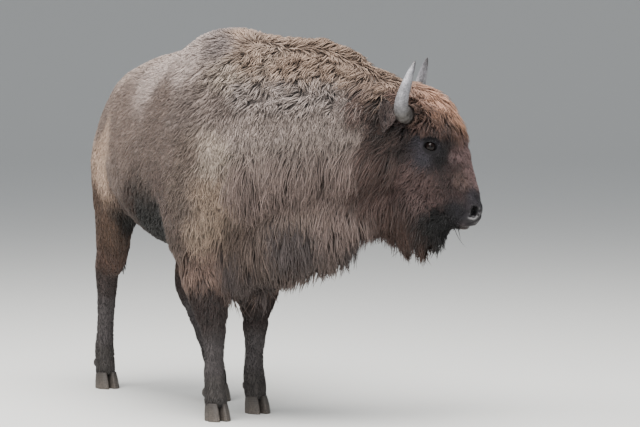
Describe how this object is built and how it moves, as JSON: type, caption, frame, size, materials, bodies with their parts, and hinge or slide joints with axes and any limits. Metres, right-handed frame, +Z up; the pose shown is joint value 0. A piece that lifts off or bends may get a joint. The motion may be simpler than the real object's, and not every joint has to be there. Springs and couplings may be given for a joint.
{
  "type": "wisent figure",
  "caption": "Life-size still model of a standing wisent (European bison) with its head turned to its left and one hind leg stepping forward.",
  "frame": {"origin": "centre of the bounding box's base: on the floor, under the middle of the animal's length and width", "axes": "+X towards the front of the body, +Y to the animal's left, +Z up"},
  "size_m": [2.0348, 1.162, 1.6389],
  "materials": {
    "flank_hide": "short dense greyish-brown coat, matt",
    "neck_hide": "thick curly tan-brown coat, matt",
    "head_hide": "dark red-brown hair over dark skin, matt",
    "leg_hide": "short dark brown coat with dried mud, matt",
    "mane_hair": "long wavy strands, matt",
    "beard_hair": "long dark strands, slight sheen",
    "horn": "grey horn, smooth, satin at the tips",
    "eye": "dark, polished",
    "hoof": "dark horn with dried mud"
  },
  "bodies": {
    "root": {"trunk": "flank_hide", "neck": "neck_hide", "head": "head_hide", "throat_mane": "mane_hair", "beard": "beard_hair", "left_ear": "head_hide", "left_eye": "eye", "left_front_inner_claw": "hoof", "left_front_inner_dewclaw": "hoof", "left_front_lower_leg": "leg_hide", "left_front_outer_claw": "hoof", "left_front_outer_dewclaw": "hoof", "left_front_upper_leg": "leg_hide", "left_hind_inner_claw": "hoof", "left_hind_inner_dewclaw": "hoof", "left_hind_lower_leg": "leg_hide", "left_hind_outer_claw": "hoof", "left_hind_outer_dewclaw": "hoof", "left_hind_upper_leg": "leg_hide", "left_horn": "horn", "right_ear": "head_hide", "right_eye": "eye", "right_front_inner_claw": "hoof", "right_front_inner_dewclaw": "hoof", "right_front_lower_leg": "leg_hide", "right_front_outer_claw": "hoof", "right_front_outer_dewclaw": "hoof", "right_front_upper_leg": "leg_hide", "right_hind_inner_claw": "hoof", "right_hind_inner_dewclaw": "hoof", "right_hind_lower_leg": "leg_hide", "right_hind_outer_claw": "hoof", "right_hind_outer_dewclaw": "hoof", "right_hind_upper_leg": "leg_hide", "right_horn": "horn", "tail": "flank_hide", "tail_tuft": "beard_hair"}
  },
  "joints": []
}
